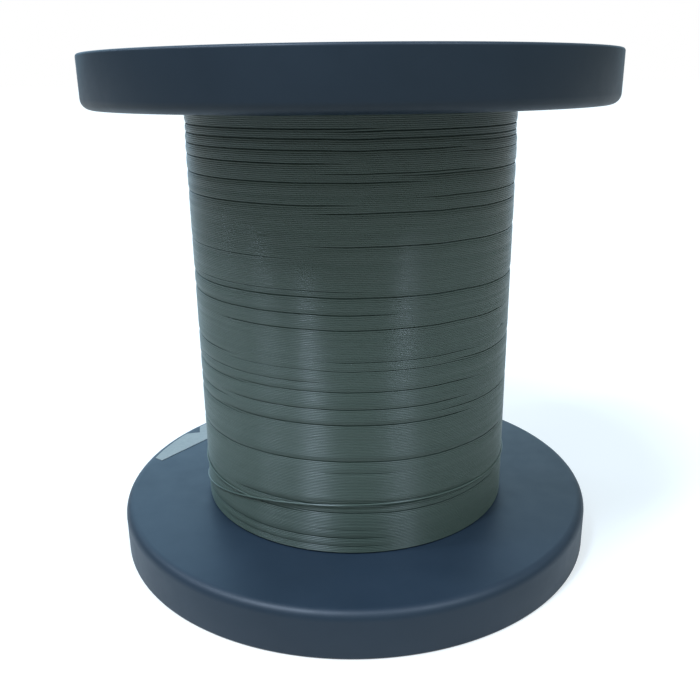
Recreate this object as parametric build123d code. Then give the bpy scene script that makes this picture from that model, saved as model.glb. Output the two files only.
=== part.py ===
from build123d import *
import os

# Reel of coated wire rope, standing on its lower flange.
# The origin is on the bore axis, at the lower face, and +Z runs along the bore.
# All sizes are in millimetres.

# Reel: a moulded reel with a hollow barrel and ribbed outer faces
flange_diameter = 160.0
overall_length = 158.0
flange_width = 15.0
flange_web = 3.0
rim_wall = 3.5
inner_edge_radius = 3.0
outer_edge_chamfer = 0.5
barrel_diameter = 100.0
barrel_wall = 3.0
bore_diameter = 22.0
hub_wall = 3.5
bore_chamfer = 1.0

# Ribs on the outer faces, between the hub and the rim
rib_count = 8
rib_thickness = 2.5
rib_setback = 1.5
rib_draft = 1.0
rib_overlap = 1.0

# Winding: turns of rope lying side by side, each layer nested into the one below
rope_diameter = 0.5
rope_layers = 3

# Label: a thin bare strip stuck near the edge of the lower flange's inner face,
# with a tab that reaches the edge; the inner long edge is a chord of the flange,
# and the tab's outer corner is cut off at 45 degrees where it stands past the strip
label_length = 66.0
label_width = 6.9
label_reach = 11.1
label_thickness = 0.2
label_azimuth = 143.5
tab_length = 19.0
tab_offset = 7.2

# Sizes that follow from the ones above
flange_radius = flange_diameter / 2
barrel_radius = barrel_diameter / 2
bore_radius = bore_diameter / 2
hub_radius = bore_radius + hub_wall
rim_inner_radius = flange_radius - rim_wall
flat_face_radius = flange_radius - inner_edge_radius
recess_depth = flange_width - flange_web
layer_step = rope_diameter * 3 ** 0.5 / 2
winding_depth = rope_diameter + (rope_layers - 1) * layer_step
winding_radius = barrel_radius + winding_depth
mid_plane = Plane.XY.offset(overall_length / 2)

# Corners of the section count as being at a height or radius when they are this near it
same_place = 0.01


def ring(inner_radius, outer_radius, bottom, top):
    """A plain round ring about the bore axis, from one height to another."""
    tube = Cylinder(outer_radius, top - bottom) - Cylinder(inner_radius, top - bottom)
    return Pos(0, 0, (bottom + top) / 2) * tube


def corners(face, radius, heights):
    """Corners of the section at a radius, at any of the given heights."""
    at_radius = face.vertices().filter_by(lambda v: abs(v.X - radius) < same_place)
    return at_radius.filter_by(lambda v: min(abs(v.Z - height) for height in heights) < same_place)


def half_section():
    """Outline of the reel from its bore to its rim, drawn in the XZ plane."""
    top = overall_length
    outline = Polyline(
        (bore_radius, 0),
        (hub_radius, 0),
        (hub_radius, recess_depth),
        (rim_inner_radius, recess_depth),
        (rim_inner_radius, 0),
        (flange_radius, 0),
        (flange_radius, flange_width),
        (barrel_radius, flange_width),
        (barrel_radius, top - flange_width),
        (flange_radius, top - flange_width),
        (flange_radius, top),
        (rim_inner_radius, top),
        (rim_inner_radius, top - recess_depth),
        (hub_radius, top - recess_depth),
        (hub_radius, top),
        (bore_radius, top),
        close=True,
    )
    face = make_face(Plane.XZ * outline)
    face = fillet(corners(face, flange_radius, (flange_width, top - flange_width)), inner_edge_radius)
    face = chamfer(corners(face, flange_radius, (0, top)), outer_edge_chamfer)
    return chamfer(corners(face, bore_radius, (0, top)), bore_chamfer)


def lower_ribs():
    """Radial ribs of the lower face, drawn on the recess floor and drafted towards the open side."""
    inner = hub_radius - rib_overlap
    outer = rim_inner_radius + rib_overlap
    height = recess_depth - rib_setback
    foot = Pos((inner + outer) / 2, 0, recess_depth) * Rectangle(outer - inner, rib_thickness)
    rib = extrude(foot, amount=-height, taper=rib_draft)
    return PolarLocations(0, rib_count) * rib


def make_reel():
    """Turned body with a hollow barrel, and the ribs of both outer faces."""
    body = revolve(half_section(), Axis.Z)
    body -= ring(hub_radius, barrel_radius - barrel_wall, flange_width, overall_length - flange_width)
    for rib in lower_ribs():
        body += rib
        body += mirror(rib, about=mid_plane)
    return body


def make_winding():
    """The wound rope as one turned solid, seated on the barrel between the flanges."""
    return ring(barrel_radius, winding_radius, flange_width, overall_length - flange_width)


def make_label():
    """The strip and its tab, cut off where the flat face of the flange begins to round over."""
    inner_edge = flat_face_radius - label_reach
    corner_cut = label_reach - label_width
    strip = Pos(inner_edge + label_width / 2, 0) * Rectangle(label_width, label_length)
    tab_centre = tab_offset - tab_length / 2
    tab = Pos(inner_edge + label_reach / 2, tab_centre) * Rectangle(label_reach, tab_length)
    outer_corner = tab.vertices().group_by(Axis.X)[-1].sort_by(Axis.Y)[-1]
    tab = chamfer(outer_corner, corner_cut)
    outline = (strip + tab) & Circle(flat_face_radius)
    return extrude(Pos(0, 0, flange_width) * Rot(0, 0, label_azimuth) * outline, amount=label_thickness)


os.makedirs("parts", exist_ok=True)
export_step(make_reel(), "parts/reel.step")
export_step(make_winding(), "parts/rope_winding.step")
export_step(make_label(), "parts/label.step")
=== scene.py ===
import math
import bpy
import numpy as np
from mathutils import Matrix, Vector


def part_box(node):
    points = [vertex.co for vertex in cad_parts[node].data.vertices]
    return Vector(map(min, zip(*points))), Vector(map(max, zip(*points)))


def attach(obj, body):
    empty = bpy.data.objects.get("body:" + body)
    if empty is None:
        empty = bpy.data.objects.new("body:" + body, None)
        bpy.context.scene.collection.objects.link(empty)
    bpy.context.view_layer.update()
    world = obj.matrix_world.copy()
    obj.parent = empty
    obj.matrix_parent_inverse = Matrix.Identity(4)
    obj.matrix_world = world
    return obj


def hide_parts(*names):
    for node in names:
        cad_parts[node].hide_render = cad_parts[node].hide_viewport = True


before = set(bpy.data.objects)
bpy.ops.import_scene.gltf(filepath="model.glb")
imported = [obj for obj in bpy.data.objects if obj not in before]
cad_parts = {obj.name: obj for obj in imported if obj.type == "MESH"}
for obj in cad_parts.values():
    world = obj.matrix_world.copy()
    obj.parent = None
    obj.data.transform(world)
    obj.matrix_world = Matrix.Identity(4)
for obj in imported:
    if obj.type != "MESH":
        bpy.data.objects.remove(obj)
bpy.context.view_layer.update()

# Reel: a moulded reel of slate-blue styrene, two flanges on a hollow barrel with a hub through it.
# Each outer face is a recess, crossed by eight drafted ribs that run from the hub to the rim.
# It stands on the rim and the hub of the lower flange.
MM = 0.001
reel_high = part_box("reel")[1]
winding_low, winding_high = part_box("rope_winding")
flange_radius = reel_high.x
reel_length = reel_high.z
flange_width = winding_low.z
barrel_radius = 50.0 * MM
bore_radius = 11.0 * MM
bore_chamfer = 1.0 * MM
hub_wall = 3.5 * MM
rim_wall = 3.5 * MM
flange_web = 3.0 * MM
hub_radius = bore_radius + hub_wall
rim_inner_radius = flange_radius - rim_wall
recess_depth = flange_width - flange_web
inner_edge_radius = 3.0 * MM
outer_edge_radius = 0.85 * MM
recess_corner_radius = 0.9 * MM
rim_lip_radius = 0.5 * MM
rib_count = 8
rib_foot = 2.5 * MM
rib_crest = 2.1 * MM
rib_crest_radius = 0.5 * MM
rib_setback = 1.5 * MM
rib_sink = 0.3 * MM
reel_segments = 288
corner_steps = 8
crisp_edge_angle = 40


def rounded_corner(corner, before, after, radius):
    """Arc that touches both sides of a corner: its centre lies on their bisector,
    radius / sin(half the angle) away, and it is swept from one touch point to the other."""
    corner, before, after = (np.array(place, float) for place in (corner, before, after))
    into = (before - corner) / np.linalg.norm(before - corner)
    out = (after - corner) / np.linalg.norm(after - corner)
    half_angle = math.acos(np.clip(into @ out, -1, 1)) / 2
    reach = radius / math.tan(half_angle)
    centre = corner + (into + out) / np.linalg.norm(into + out) * radius / math.sin(half_angle)
    start, end = corner + into * reach - centre, corner + out * reach - centre
    sweep = math.atan2(start[0] * end[1] - start[1] * end[0], start @ end)
    angle = np.linspace(0, sweep, corner_steps + 1)[:, None]
    return centre + np.cos(angle) * start + np.sin(angle) * np.array([-start[1], start[0]])


def rounded_outline(corners):
    """Closed outline through (x, y, radius) corners: each becomes its arc, or stays if its radius is 0."""
    places = [corner[:2] for corner in corners]
    pieces = []
    for number, (x, y, radius) in enumerate(corners):
        before = places[number - 1]
        after = places[(number + 1) % len(places)]
        pieces.append(rounded_corner((x, y), before, after, radius) if radius else [(x, y)])
    return np.concatenate(pieces)


def grid_faces(rows, columns, close_rows, close_columns):
    """Quads of a rows by columns grid of points, numbered row by row: point = row times columns + column.
    Where a side closes, its last points are joined to its first."""
    row = np.arange(rows if close_rows else rows - 1)[:, None]
    column = np.arange(columns if close_columns else columns - 1)[None, :]
    next_row, next_column = (row + 1) % rows, (column + 1) % columns
    corners = [(row, column), (next_row, column), (next_row, next_column), (row, next_column)]
    return np.stack([r * columns + c for r, c in corners], -1).reshape(-1, 4)


def turned(outline, segments):
    """Closed outline of (radius, height) points turned about Z:
    x = r cos a, y = r sin a and z = h, for a all round the circle."""
    angle = np.linspace(0, 2 * np.pi, segments, endpoint=False)
    x = outline[:, None, 0] * np.cos(angle)
    y = outline[:, None, 0] * np.sin(angle)
    z = np.broadcast_to(outline[:, None, 1], x.shape)
    points = np.stack([x, y, z], -1).reshape(-1, 3)
    return points, grid_faces(len(outline), segments, True, True)


def reel_outline():
    """Half section of the reel: out from the bore along the lower face, up the barrel,
    and back along the upper face, which is the lower one with z = length - z."""
    lower = [
        (bore_radius, bore_chamfer, 0),
        (bore_radius + bore_chamfer, 0, rim_lip_radius / 2),
        (hub_radius, 0, rim_lip_radius),
        (hub_radius, recess_depth, recess_corner_radius),
        (rim_inner_radius, recess_depth, recess_corner_radius),
        (rim_inner_radius, 0, rim_lip_radius),
        (flange_radius, 0, outer_edge_radius),
        (flange_radius, flange_width, inner_edge_radius),
        (barrel_radius, flange_width, 0),
    ]
    upper = [(r, reel_length - z, radius) for r, z, radius in reversed(lower)]
    return rounded_outline(lower + upper)


def rib(azimuth, foot_height, crest_height):
    """A rounded section of (across, height) points, carried straight out along a radius at azimuth a:
    x = out cos a - across sin a, y = out sin a + across cos a and z = height."""
    foot, crest = rib_foot / 2, rib_crest / 2
    section = rounded_outline([
        (-foot, foot_height, 0),
        (-crest, crest_height, rib_crest_radius),
        (crest, crest_height, rib_crest_radius),
        (foot, foot_height, 0),
    ])
    if crest_height > foot_height:
        section = section[::-1]
    out = np.array([hub_radius - rib_sink, rim_inner_radius + rib_sink])
    x = out * math.cos(azimuth) - section[:, :1] * math.sin(azimuth)
    y = out * math.sin(azimuth) + section[:, :1] * math.cos(azimuth)
    z = np.broadcast_to(section[:, 1:], x.shape)
    points = np.stack([x, y, z], -1).reshape(-1, 3)
    inner_end = list(range(0, len(points), 2))
    outer_end = list(range(1, len(points), 2))
    return points, grid_faces(len(section), 2, True, False).tolist() + [inner_end, outer_end[::-1]]


def joined(parts):
    """Several (points, faces) pairs as one, each one's faces renumbered past the points before it."""
    points, faces, start = [], [], 0
    for part_points, part_faces in parts:
        points.append(part_points)
        faces += [[corner + start for corner in face] for face in part_faces]
        start += len(part_points)
    return np.concatenate(points), faces


def new_piece(name, points, faces, material, slot=None, sharp_angle=None):
    """A mesh object at the origin, smooth but for edges sharper than the angle.
    With a slot it is part of the reel, and without one it belongs to the setting."""
    mesh = bpy.data.meshes.new(name)
    mesh.from_pydata(np.asarray(points).tolist(), [], np.asarray(faces, dtype=object).tolist())
    mesh.shade_smooth()
    if sharp_angle:
        mesh.set_sharp_from_angle(angle=math.radians(sharp_angle))
    mesh.materials.append(material)
    piece = bpy.data.objects.new(name, mesh)
    bpy.context.scene.collection.objects.link(piece)
    if slot:
        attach(piece, "root")
    return piece


def new_material(name):
    """A new material, its node tree, and the Principled shader that is joined to its output."""
    material = bpy.data.materials.new(name)
    material.use_nodes = True
    tree = material.node_tree
    tree.nodes.clear()
    shader = tree.nodes.new("ShaderNodeBsdfPrincipled")
    output = tree.nodes.new("ShaderNodeOutputMaterial")
    tree.links.new(shader.outputs["BSDF"], output.inputs["Surface"])
    return material, tree, shader


def node(tree, kind, links=None, values=None, **settings):
    """Adds a node, links the given sockets to its inputs, and sets its input values and its own settings."""
    made = tree.nodes.new(kind)
    for name, value in settings.items():
        setattr(made, name, value)
    for name, value in (values or {}).items():
        made.inputs[name].default_value = value
    for name, socket in (links or {}).items():
        tree.links.new(socket, made.inputs[name])
    return made


def colour_between(tree, factor, low, high, start=0.3, end=0.7):
    """A colour that runs from low to high as the factor goes from start to end."""
    ramp = node(tree, "ShaderNodeValToRGB", {"Fac": factor})
    for element, place, colour in zip(ramp.color_ramp.elements, (start, end), (low, high)):
        element.position = place
        element.color = (*colour, 1)
    return ramp.outputs["Color"]


def value_between(tree, factor, low, high, start=0.3, end=0.7):
    """A number that runs from low to high as the factor goes from start to end."""
    span = {"From Min": start, "From Max": end, "To Min": low, "To Max": high}
    return node(tree, "ShaderNodeMapRange", {"Value": factor}, span).outputs["Result"]


def styrene():
    """Satin moulded styrene: a cloudy slate blue, a fine mould grain, and gloss that handling varies."""
    material, tree, shader = new_material("slate_blue_styrene")
    place = node(tree, "ShaderNodeTexCoord").outputs["Object"]
    clouds = node(tree, "ShaderNodeTexNoise", {"Vector": place},
                  {"Scale": 28.0, "Detail": 4.0, "Roughness": 0.55})
    colour = colour_between(tree, clouds.outputs["Fac"], (0.014, 0.026, 0.041), (0.019, 0.033, 0.051))
    tree.links.new(colour, shader.inputs["Base Color"])
    handling = node(tree, "ShaderNodeTexNoise", {"Vector": place},
                    {"Scale": 140.0, "Detail": 5.0, "Roughness": 0.6})
    gloss = value_between(tree, handling.outputs["Fac"], 0.42, 0.49)
    tree.links.new(gloss, shader.inputs["Roughness"])
    shader.inputs["Specular IOR Level"].default_value = 0.44
    grain = node(tree, "ShaderNodeTexNoise", {"Vector": place}, {"Scale": 2600.0, "Detail": 2.0})
    bump = node(tree, "ShaderNodeBump", {"Height": grain.outputs["Fac"]},
                {"Strength": 0.08, "Distance": 0.1 * MM})
    tree.links.new(bump.outputs["Normal"], shader.inputs["Normal"])
    return material


reel_parts = [turned(reel_outline(), reel_segments)]
for step in range(rib_count):
    rib_azimuth = 2 * math.pi * step / rib_count
    reel_parts.append(rib(rib_azimuth, recess_depth + rib_sink, rib_setback))
    reel_parts.append(rib(rib_azimuth, reel_length - recess_depth - rib_sink, reel_length - rib_setback))
reel = new_piece("moulded_reel", *joined(reel_parts), styrene(), "reel_plastic", crisp_edge_angle)
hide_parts("reel")

# Outer layer of the winding: 0.5 mm wire rope with a smooth grey-green coating, wound turn beside turn.
# Groups of turns lie tight together. The gaps between them open and close round the reel,
# and show the layer below. Azimuths are seen from the camera: 0 in front, 90 at the right.
rope_diameter = 0.5 * MM
rope_layers = 3
layer_step = rope_diameter * math.sqrt(3) / 2
traverse = winding_high.z - winding_low.z
outer_layer_radius = barrel_radius + rope_diameter / 2 + (rope_layers - 1) * layer_step
end_azimuth = -118.0
turn_segments = 96
# A turn's section reaches 115 degrees to each side of its crest, and its neighbours press it flatter
section_points = 9
section_reach = math.radians(115)
rope_clearance = 0.995
pressed_square = 0.8
pressed_relief = 0.4
# Turns beside a gap sink into it, each beds a little higher or lower, and those at the top sag inwards
sink_share = 0.6
sink_reach = 1.7
bedding_scatter = 0.008 * MM
sag_at_top = 0.25 * MM
sag_height = 10.0 * MM
# A gap closes over 16 degrees at each end, and the rope passes it within a tenth of a turn
gap_softness = 16.0
crossing_turns = 0.10
# Each gap: its height and width in mm, then the azimuth of its middle and half its range in degrees
gaps = [
    (17.5, 0.21, -25, 34), (20.3, 0.31, -34, 42), (22.9, 0.15, -2, 9), (28.2, 0.45, -50, 30),
    (28.1, 0.32, 18, 42), (31.0, 0.56, 2, 44), (32.3, 0.15, 12, 32), (41.8, 0.15, 1, 12),
    (44.6, 0.31, -80, 30), (45.4, 0.37, 5, 60), (55.9, 0.34, -78, 34), (56.7, 0.37, -6, 44),
    (57.8, 0.23, 58, 28), (59.8, 0.26, -75, 26), (61.9, 0.26, -4, 42), (66.0, 0.26, -72, 32),
    (66.9, 0.24, 0, 42), (69.6, 0.18, -38, 28), (72.8, 0.34, 72, 34), (73.2, 0.14, 0, 45),
    (73.7, 0.32, -80, 32), (75.8, 0.16, 18, 26), (85.3, 0.29, 8, 54), (89.2, 0.31, -50, 60),
    (94.4, 0.37, 0, 200), (96.3, 0.15, -32, 32), (104.6, 0.15, -60, 36), (108.1, 0.29, 40, 48),
    (117.0, 0.32, 32, 40), (119.2, 0.31, -52, 50), (120.2, 0.26, 70, 46), (125.1, 0.31, -38, 56),
    (126.3, 0.34, 62, 42), (127.5, 0.23, 18, 24), (130.1, 0.31, -68, 62), (132.0, 0.16, 60, 26),
    (133.4, 0.32, -50, 84), (134.6, 0.34, 90, 50), (136.2, 0.41, 0, 200), (138.0, 0.34, 60, 62),
    (138.8, 0.41, -75, 80),
]
# The rear can't be seen, so its gaps are drawn at random, in the manner of those in front
rear_heights = np.linspace(20, 138, 22)
rear_height_scatter = 2
rear_widths = (0.13, 0.36)
rear_azimuth = 180
rear_azimuth_scatter = 45
rear_ranges = (20, 55)
layer_random = np.random.default_rng(7)
for height in rear_heights:
    gaps.append((
        height + layer_random.uniform(-rear_height_scatter, rear_height_scatter),
        layer_random.uniform(*rear_widths),
        rear_azimuth + layer_random.uniform(-rear_azimuth_scatter, rear_azimuth_scatter),
        layer_random.uniform(*rear_ranges),
    ))
gap_height, gap_width, gap_middle, gap_range = np.array(sorted(gaps)).T
gap_width = gap_width * MM
gap_height = gap_height * MM - winding_low.z


def smoothstep(x):
    """0 below 0, 1 above 1, and 3 x squared less 2 x cubed between."""
    x = np.clip(x, 0, 1)
    return x * x * (3 - 2 * x)


def open_width(azimuth):
    """Width of every gap at the azimuths: its full width within its range, closing smoothly at both ends.
    It is the gap's width times the smooth step of (range - distance from the middle) / softness + a half."""
    from_middle = np.abs((azimuth[:, None] - gap_middle + 180) % 360 - 180)
    return gap_width * smoothstep((gap_range - from_middle) / gap_softness + 0.5)


# The layer has as many turns as fit where the gaps are widest.
# Where they are narrower, the space that is left over is spread evenly over the turns.
all_round = np.arange(-180.0, 180.0, 2.0)
most_open = open_width(all_round).sum(1).max()
turn_count = int((traverse - most_open) / rope_diameter)
free_space = traverse - turn_count * rope_diameter

# The rope passes a gap on the side opposite the gap's middle, where most gaps are closed.
# Of the turn numbers there, it is the one nearest to the number of turns below the gap.
width_at_middle = open_width(gap_middle)
width_below = np.tril(width_at_middle, -1).sum(1) + gap_width / 2
spread_below = (free_space - width_at_middle.sum(1)) * gap_height / traverse
turns_below = (gap_height - width_below - spread_below) / rope_diameter - 0.5
closed_part = ((end_azimuth - gap_middle - 180) / 360) % 1
gap_turn = closed_part + np.round(turns_below - closed_part)


def turn_azimuth(turn):
    """Azimuth in degrees at a turn number, counted up from the lower flange: end azimuth - 360 turns."""
    return end_azimuth - 360 * turn


def turn_height(turn):
    """Height over the flange: a rope diameter for each turn, the open width of each gap passed so far,
    and an even share of the space that is left."""
    width = open_width(turn_azimuth(turn))
    passed = smoothstep((turn[:, None] - gap_turn) / crossing_turns + 0.5)
    spread = (free_space - width.sum(1)) * turn / turn_count
    return rope_diameter * (turn + 0.5) + (width * passed).sum(1) + spread


def sink(turn):
    """How far the turns beside a gap sink into it: a share of the gap's open width,
    times e to the minus square of (turns away from the gap / reach)."""
    away = (turn[:, None] - gap_turn) / sink_reach
    return (sink_share * open_width(turn_azimuth(turn)) * np.exp(-away ** 2)).sum(1)


def sag(z):
    """How far the rope sags inwards: nothing up to 10 mm below the upper flange, and from there
    a smooth step up to the full sag at the flange."""
    return sag_at_top * smoothstep((z - winding_high.z + sag_height) / sag_height)


def carried(radius, azimuth, height, reach, count, power=1.0, relief=1.0):
    """A rope section carried along a path: r + cos b and z + sin b in rope radii, for b over the reach.
    A power under 1 on both makes the section squarer, and a relief under 1 flattens its outer side
    and leaves the crest where it is. The path's azimuth is measured from the front, -Y."""
    b = np.linspace(-reach, reach, count, endpoint=reach < math.pi)
    across = np.sign(np.cos(b)) * np.abs(np.cos(b)) ** power
    up = np.sign(np.sin(b)) * np.abs(np.sin(b)) ** power
    r = radius[:, None] + (1 - relief + across * relief) * rope_diameter / 2 * rope_clearance
    z = height[:, None] + up * rope_diameter / 2 * rope_clearance
    a = np.radians(azimuth)[:, None]
    points = np.stack([r * np.sin(a), -r * np.cos(a), np.broadcast_to(z, r.shape)], -1).reshape(-1, 3)
    faces = grid_faces(len(radius), count, False, True).tolist()
    first_end = list(range(count))
    last_end = [corner + (len(radius) - 1) * count for corner in first_end]
    return points, faces + [first_end, last_end[::-1]]


def rope_map(piece, path_count, length):
    """UV map of a rope: the length along it in metres, and the share of the way round its section."""
    mesh = piece.data
    corners = np.empty(len(mesh.loops), dtype=np.int32)
    mesh.loops.foreach_get("vertex_index", corners)
    across = len(mesh.vertices) // path_count
    uv = np.stack([np.repeat(length, across), np.tile(np.arange(across) / across, path_count)], -1)
    mesh.uv_layers.new(name="rope").data.foreach_set("uv", uv[corners].astype(np.float32).ravel())


def rope_coating():
    """Smooth grey-green coating. Its shade and gloss drift along the rope, so that they differ
    from turn to turn, and its gloss is drawn out across the turns."""
    material, tree, shader = new_material("coated_wire_rope")
    place_on_rope = node(tree, "ShaderNodeUVMap", uv_map="rope").outputs["UV"]
    along = node(tree, "ShaderNodeSeparateXYZ", {"Vector": place_on_rope}).outputs["X"]
    drift = node(tree, "ShaderNodeTexNoise", {"W": along}, {"Scale": 0.9, "Detail": 6.0, "Roughness": 0.75},
                 noise_dimensions="1D")
    colour = colour_between(tree, drift.outputs["Fac"], (0.053, 0.082, 0.063), (0.068, 0.100, 0.077))
    tree.links.new(colour, shader.inputs["Base Color"])
    gloss = node(tree, "ShaderNodeTexNoise", {"W": along}, {"Scale": 0.8, "Detail": 5.0, "Roughness": 0.7},
                 noise_dimensions="1D")
    tree.links.new(value_between(tree, gloss.outputs["Fac"], 0.34, 0.49), shader.inputs["Roughness"])
    shader.inputs["Specular IOR Level"].default_value = 1.0
    shader.inputs["Anisotropic"].default_value = 0.95
    shader.inputs["Anisotropic Rotation"].default_value = 0.25
    return material


# The layer is four pieces, end to end, to keep each one's mesh small
coating = rope_coating()
outer_piece_count = 4
bedding = layer_random.normal(0, bedding_scatter, turn_count + 2)
piece_ends = np.linspace(0, turn_count, outer_piece_count + 1)
for number, (first, last) in enumerate(zip(piece_ends[:-1], piece_ends[1:]), 1):
    turn = np.linspace(first, last, int((last - first) * turn_segments) + 1)
    height = winding_low.z + turn_height(turn)
    bed = np.interp(turn, np.arange(len(bedding)), bedding)
    radius = outer_layer_radius + bed - sag(height) - sink(turn)
    points, faces = carried(radius, turn_azimuth(turn), height, section_reach, section_points,
                            pressed_square, pressed_relief)
    turns = new_piece(f"rope_turns_{number}", points, faces, coating, "coated_rope")
    rope_map(turns, len(turn), turn * 2 * np.pi * outer_layer_radius)
    if number == 1:
        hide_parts("rope_winding")

# Last turn: from the lower flange the rope climbs over the outer layer, at the left,
# goes once round the reel on top of it, and its end is tucked into a gap where it started.
# Each point of its way: azimuth in degrees, height in mm and lift over the outer layer in mm
last_turn_route = [
    (-118, 15.25, 0.00), (-113, 15.30, 0.25), (-107, 16.10, 0.48), (-100, 17.60, 0.50),
    (-90, 19.50, 0.50), (-70, 22.90, 0.50), (-58, 25.10, 0.50), (-45, 27.60, 0.50), (-35, 29.30, 0.48),
    (-20, 30.90, 0.46), (0, 31.80, 0.46), (20, 31.55, 0.46), (42, 30.95, 0.46), (90, 30.20, 0.46),
    (180, 29.60, 0.46), (260, 29.00, 0.46), (300, 28.70, 0.42), (326, 28.50, 0.02),
]
last_turn_steps = 420
last_turn_section_points = 12
smoothing = np.hanning(19)
route_azimuth, route_height, route_lift = np.array(last_turn_route).T


def smoothed(values, azimuth):
    """Straight runs between the listed points of the route, rounded by a mean over a few degrees
    whose weights rise and fall as a squared sine."""
    run = np.interp(azimuth, route_azimuth, values)
    padded = np.pad(run, len(smoothing) // 2, mode="edge")
    return np.convolve(padded, smoothing / smoothing.sum(), mode="valid")


azimuth = np.linspace(route_azimuth[0], route_azimuth[-1], last_turn_steps)
height = smoothed(route_height * MM, azimuth)
lift = smoothed(route_lift * MM, azimuth)
points, faces = carried(outer_layer_radius + lift, azimuth, height, math.pi, last_turn_section_points)
last_turn = new_piece("rope_last_turn", points, faces, coating, "coated_rope")
rope_map(last_turn, last_turn_steps, np.radians(azimuth) * outer_layer_radius)

# Lower layer: the same rope one layer down, seen only through the gaps.
# Its turns are rings here, because their slope can't be seen.
crest_points = 5
crest_reach = math.radians(75)
lower_layer_segments = 72
lower_layer_inside = barrel_radius - 0.05 * MM


def lower_layer_outline():
    """Half section: a round crest for each turn, r + cos b and z + sin b in rope radii,
    closed by a straight line just inside the barrel's surface."""
    rings = int(traverse / rope_diameter)
    b = np.linspace(-crest_reach, crest_reach, crest_points)
    centre = winding_low.z + rope_diameter * (np.arange(rings) + 0.5)
    z = (centre[:, None] + np.sin(b) * rope_diameter / 2).ravel()
    r = np.tile(np.cos(b) * rope_diameter / 2, rings) + outer_layer_radius - layer_step - sag(z)
    ends = np.array([(lower_layer_inside, winding_high.z), (lower_layer_inside, winding_low.z)])
    return np.concatenate([np.stack([r, z], -1), ends])


def lower_coating():
    """The same coating, darker, as painted shade for the gaps between the turns above it, with a faint
    mottle and a little less gloss.
    """
    material, tree, shader = new_material("coated_wire_rope_below")
    place = node(tree, "ShaderNodeTexCoord").outputs["Object"]
    painted_shade_mottle = node(tree, "ShaderNodeTexNoise", {"Vector": place}, {"Scale": 90.0, "Detail": 3.0})
    # Painted shade: both colours are darker than the outer layer's, for the shade in the gaps
    colour = colour_between(tree, painted_shade_mottle.outputs["Fac"], (0.046, 0.070, 0.058), (0.056, 0.082, 0.070))
    tree.links.new(colour, shader.inputs["Base Color"])
    shader.inputs["Roughness"].default_value = 0.5
    return material


points, faces = turned(lower_layer_outline(), lower_layer_segments)
new_piece("rope_lower_layer", points, faces, lower_coating(), "coated_rope")

# Label: a plain self-adhesive paper strip on the lower flange, at the back left, with nothing printed on it.
# Its outer side is trimmed along the edge of the flange's flat face, with a small V nicked out of it.
# The solid's outline is plainer there, so this piece stands for it.
label_azimuth = math.radians(143.5)
label_half_length = 33.0 * MM
label_inner_edge = 65.9 * MM
label_outer_radius = flange_radius - inner_edge_radius
nick_place = 7.2 * MM
nick_floor = 72.8 * MM
nick_half_width = 3.7 * MM
label_thickness = 0.12 * MM
label_edge_points = 61
label_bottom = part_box("label")[0].z


def label_outline():
    """The strip from above. Its trimmed side is x = root of (r squared less y squared), but at the nick,
    and its other side is straight. It is drawn across the X axis and then turned to its azimuth."""
    y = np.linspace(-label_half_length, label_half_length, label_edge_points)
    y = y[np.abs(y - nick_place) > nick_half_width]
    trimmed = np.stack([np.sqrt(label_outer_radius ** 2 - y ** 2), y], -1)
    trimmed = np.insert(trimmed, np.sum(y < nick_place), (nick_floor, nick_place), axis=0)
    ends = [(label_inner_edge, label_half_length), (label_inner_edge, -label_half_length)]
    c, s = math.cos(label_azimuth), math.sin(label_azimuth)
    return np.concatenate([trimmed, ends]) @ np.array([[c, s], [-s, c]])


def sheet(outline, top, bottom):
    """A flat sheet: the outline at z = top and again at z = bottom, with quads joining the two all round."""
    count = len(outline)
    heights = np.repeat([top, bottom], count)
    points = np.column_stack([np.tile(outline, (2, 1)), heights])
    faces = grid_faces(2, count, False, True).tolist()
    return points, faces + [list(range(count)), list(range(2 * count - 1, count - 1, -1))]


def label_paper():
    """Pale blue-grey paper with a faint fibre grain and a slight shine."""
    material, tree, shader = new_material("plain_label_paper")
    place = node(tree, "ShaderNodeTexCoord").outputs["Object"]
    fibre = node(tree, "ShaderNodeTexNoise", {"Vector": place}, {"Scale": 900.0, "Detail": 3.0})
    colour = colour_between(tree, fibre.outputs["Fac"], (0.295, 0.32, 0.305), (0.345, 0.365, 0.345))
    tree.links.new(colour, shader.inputs["Base Color"])
    shader.inputs["Roughness"].default_value = 0.6
    return material


points, faces = sheet(label_outline(), label_bottom + label_thickness, label_bottom)
label = new_piece("label_strip", points, faces, label_paper(), "label_paper", crisp_edge_angle)
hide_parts("label")

# Setting: a plain pale floor and a white background, under a soft dome of light with a pale wall
# and a window at the back. Two tall lamps in front and two narrow windows at the left light the reel
# and draw its upright streaks.
floor_half = 30.0
pale_floor_middle = (-0.03, 0.10, 0.0)
pale_floor_radius = 0.16
dim_floor_radius = 0.34
back_window_direction = (-0.36, 0.77, 0.526)
lamp_distance = 2.0
lamp_colour = (0.80, 0.96, 1.19)


def worked_out(tree, operation, first, second, **settings):
    """What a Math node makes of two sockets, such as their sum or their product."""
    return node(tree, "ShaderNodeMath", {0: first, 1: second}, operation=operation, **settings).outputs[0]


def seen_directly(tree, glossy_share):
    """1 for camera and transmission rays, the given share for glossy rays, and 0 for diffuse ones."""
    ray = node(tree, "ShaderNodeLightPath").outputs
    glossy = worked_out(tree, "MULTIPLY", ray["Is Glossy Ray"], glossy_share)
    seen = worked_out(tree, "ADD", ray["Is Camera Ray"], glossy)
    return worked_out(tree, "ADD", seen, ray["Is Transmission Ray"], use_clamp=True)


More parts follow.
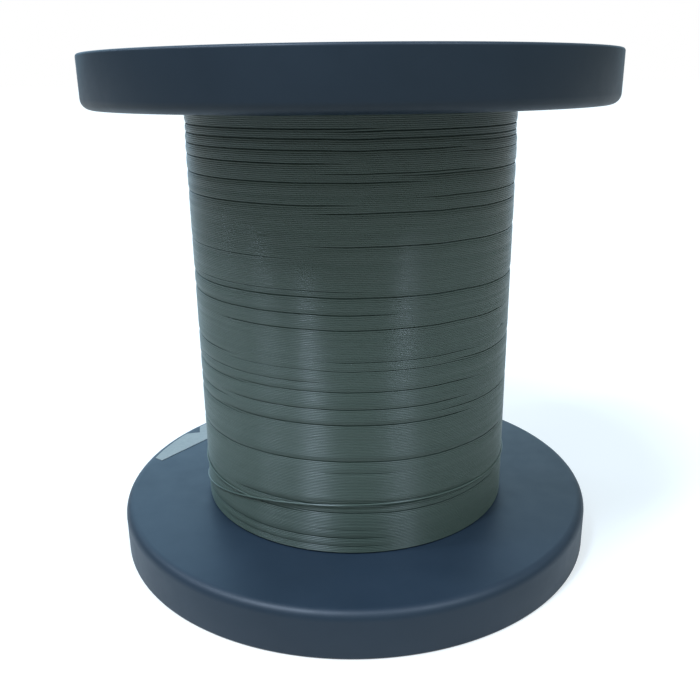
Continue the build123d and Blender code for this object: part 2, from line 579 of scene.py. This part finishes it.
def floor_finish():
    """A pale patch of floor, its middle a little behind the reel, and a dimmer floor past it.
    A glow shows both as white to the camera, and glossy rays see a share of it that rises to the back."""
    material, tree, shader = new_material("pale_floor")
    place = node(tree, "ShaderNodeTexCoord").outputs["Object"]
    distance = node(tree, "ShaderNodeVectorMath", {0: place}, {1: pale_floor_middle}, operation="DISTANCE")
    past = value_between(tree, distance.outputs["Value"], 0.0, 1.0, pale_floor_radius, dim_floor_radius)
    colour = colour_between(tree, past, (0.62, 0.64, 0.63), (0.20, 0.19, 0.16), 0.0, 1.0)
    tree.links.new(colour, shader.inputs["Base Color"])
    shader.inputs["Roughness"].default_value = 0.9
    shader.inputs["Specular IOR Level"].default_value = 0.0
    glow_colour = colour_between(tree, past, (1.0, 0.98, 0.97), (0.97, 1.08, 1.18), 0.0, 1.0)
    tree.links.new(glow_colour, shader.inputs["Emission Color"])
    glow = value_between(tree, past, 0.50, 0.97, 0.0, 1.0)
    back = node(tree, "ShaderNodeSeparateXYZ", {"Vector": place}).outputs["Y"]
    glossy_share = value_between(tree, back, 0.36, 0.57, 0.10, 0.50)
    strength = worked_out(tree, "MULTIPLY", seen_directly(tree, glossy_share), glow)
    tree.links.new(strength, shader.inputs["Emission Strength"])
    return material


floor_corners = [(-floor_half, -floor_half, 0), (floor_half, -floor_half, 0),
                 (floor_half, floor_half, 0), (-floor_half, floor_half, 0)]
new_piece("floor", floor_corners, [[0, 1, 2, 3]], floor_finish())


def studio_surround():
    """White towards the camera. As light, a dome that is dim at the left, the back and the horizon,
    with a pale wall behind the reel and a window in it. Its colours are placed by the sine
    of the height in the sky, 0 at the horizon and 1 overhead."""
    world = bpy.data.worlds.new("studio")
    world.use_nodes = True
    tree = world.node_tree
    tree.nodes.clear()
    direction = node(tree, "ShaderNodeTexCoord").outputs["Generated"]
    across, back, up = node(tree, "ShaderNodeSeparateXYZ", {"Vector": direction}).outputs
    ramp = node(tree, "ShaderNodeValToRGB", {"Fac": up})
    stops = ramp.color_ramp.elements
    stops[0].color = (0.12, 0.13, 0.09, 1)
    stops[1].color = (0.20, 0.23, 0.25, 1)
    stops.new(0.16).color = (0.16, 0.18, 0.13, 1)
    stops.new(0.42).color = (0.47, 0.61, 0.60, 1)
    stops.new(0.66).color = (0.73, 0.94, 1.05, 1)
    side = value_between(tree, across, 0.58, 0.84, -1.0, 1.0)
    depth = value_between(tree, back, 1.06, 0.84, -0.6, 0.5)
    dome = node(tree, "ShaderNodeBackground",
                {"Color": ramp.outputs["Color"], "Strength": worked_out(tree, "MULTIPLY", side, depth)})
    towards = node(tree, "ShaderNodeVectorMath", {0: direction}, {1: back_window_direction},
                   operation="DOT_PRODUCT")
    pane_light = value_between(tree, towards.outputs["Value"], 0.0, 1.0, 0.78, 0.97)
    pane = node(tree, "ShaderNodeBackground", {"Strength": pane_light}, {"Color": (0.28, 0.56, 0.82, 1)})
    wall_light = value_between(tree, back, 0.0, 1.0, 0.68, 0.96)
    wall = node(tree, "ShaderNodeBackground", {"Strength": wall_light}, {"Color": (0.74, 1.15, 1.50, 1)})
    behind = node(tree, "ShaderNodeAddShader", {0: wall.outputs[0], 1: pane.outputs[0]})
    light = node(tree, "ShaderNodeAddShader", {0: dome.outputs[0], 1: behind.outputs[0]})
    white = node(tree, "ShaderNodeBackground", values={"Color": (1, 1, 1, 1), "Strength": 1.0})
    glossy_share = node(tree, "ShaderNodeValue").outputs[0]
    glossy_share.default_value = 0.05
    seen = seen_directly(tree, glossy_share)
    mix = node(tree, "ShaderNodeMixShader", {0: seen, 1: light.outputs[0], 2: white.outputs[0]})
    node(tree, "ShaderNodeOutputWorld", {"Surface": mix.outputs[0]})
    return world


bpy.context.scene.world = studio_surround()


def tall_lamp(name, azimuth, elevation, strength, width, height):
    """An upright soft strip that faces the reel's middle. Its angles, and its width and height
    as seen from there, are in degrees, and its strength is the light that it throws on the reel."""
    light = bpy.data.lights.new(name, "AREA")
    light.shape = "RECTANGLE"
    light.size = 2 * lamp_distance * math.tan(math.radians(width) / 2)
    light.size_y = 2 * lamp_distance * math.tan(math.radians(height) / 2)
    light.energy = strength * math.pi * lamp_distance ** 2
    light.color = lamp_colour
    lamp = bpy.data.objects.new(name, light)
    bpy.context.scene.collection.objects.link(lamp)
    bearing, rise = math.radians(azimuth), math.radians(elevation)
    level = lamp_distance * math.cos(rise)
    lamp.location = (level * math.sin(bearing), -level * math.cos(bearing),
                     reel_length / 2 + lamp_distance * math.sin(rise))
    lamp.rotation_euler = (math.radians(90 - elevation), 0, bearing)
    lamp.visible_camera = False


tall_lamp("left_lamp", -43, 62, 1.92, width=6.0, height=20.0)
tall_lamp("right_lamp", 48, 56, 0.88, width=6.0, height=24.0)
tall_lamp("left_window", -80, 52, 0.72, width=5.0, height=24.0)
tall_lamp("side_window", -110, 40, 0.16, width=4.0, height=18.0)

# Camera: as high and as near as in the photograph, fitted to the outlines of both flanges
# and of the winding. Its focal length and its centre are in pixels of a 700 by 700 picture.
camera_distance = 259.6 * MM
camera_height = 150.4 * MM
camera_pitch = 18.52
camera_roll = -0.64
image_side = 700
focal_pixels = 799.1
centre_x, centre_y = 353.45, 347.2
camera_data = bpy.data.cameras.new("camera")
camera_data.sensor_width = 36.0
camera_data.lens = focal_pixels / image_side * camera_data.sensor_width
camera_data.shift_x = 0.5 - centre_x / image_side
camera_data.shift_y = centre_y / image_side - 0.5
camera_data.clip_start = 0.01
camera = bpy.data.objects.new("camera", camera_data)
bpy.context.scene.collection.objects.link(camera)
camera.location = (0, -camera_distance, camera_height)
tilt = Matrix.Rotation(math.radians(90 - camera_pitch), 4, "X")
roll = Matrix.Rotation(math.radians(camera_roll), 4, "Z")
camera.rotation_euler = (tilt @ roll).to_euler()
bpy.context.scene.camera = camera
bpy.context.scene.view_settings.view_transform = "Standard"
